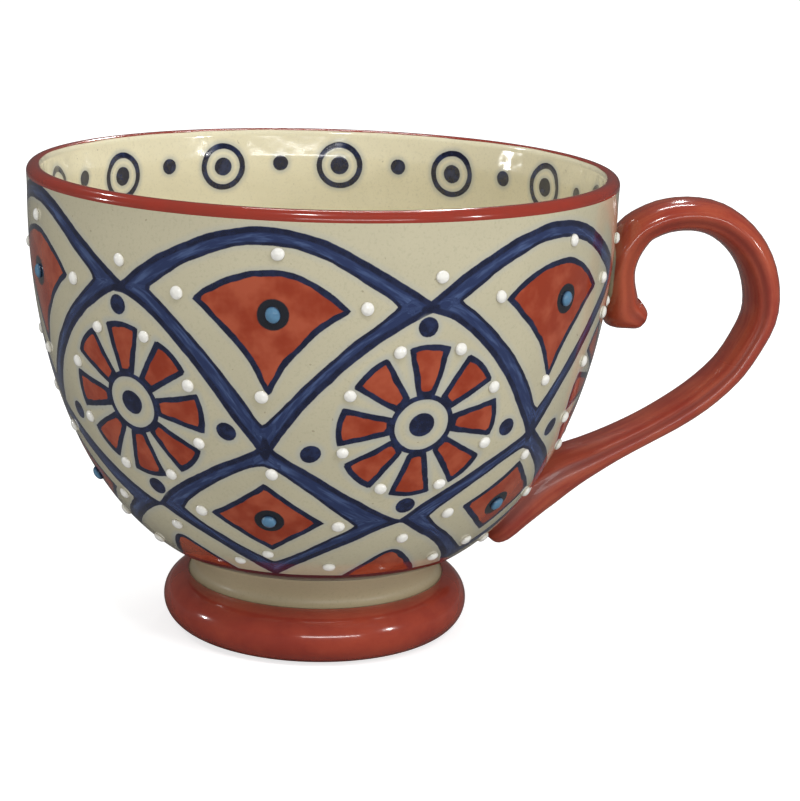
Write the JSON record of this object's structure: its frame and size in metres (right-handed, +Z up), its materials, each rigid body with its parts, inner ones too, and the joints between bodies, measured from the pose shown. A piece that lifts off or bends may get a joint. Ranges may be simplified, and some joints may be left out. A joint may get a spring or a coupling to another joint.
{
  "type": "mug",
  "caption": "Footed stoneware mug with a wide mouth, a pulled strap handle, a red lip and foot ring, and a painted lattice of fans, wheels and diamonds with raised dots.",
  "frame": {"origin": "centre of the foot ring's base, on the cup's axis, at table level", "axes": "+Z up along the cup's axis, +X from the axis towards the handle"},
  "size_m": [0.1513, 0.116, 0.0934],
  "materials": {
    "stoneware": "clear gloss glaze over warm grey-cream speckled stoneware, with painted ornament in navy, cobalt and red",
    "red_glaze": "glossy brick-red glaze",
    "slip": "fired slip, matt",
    "white_slip": "glossy white slip dots",
    "turquoise_enamel": "glossy turquoise-blue enamel beads"
  },
  "bodies": {
    "root": {"bowl": "stoneware", "pedestal_foot": "stoneware", "foot_slip": "slip", "foot_glaze": "red_glaze", "rim_glaze": "red_glaze", "handle": "red_glaze", "handle_upper_slip": "slip", "handle_lower_slip": "slip", "crossing_dots": "white_slip", "fan_dots": "white_slip", "wheel_dots": "white_slip", "diamond_dots": "white_slip", "skirt_dots": "white_slip", "fan_beads": "turquoise_enamel", "diamond_beads": "turquoise_enamel"}
  },
  "joints": []
}
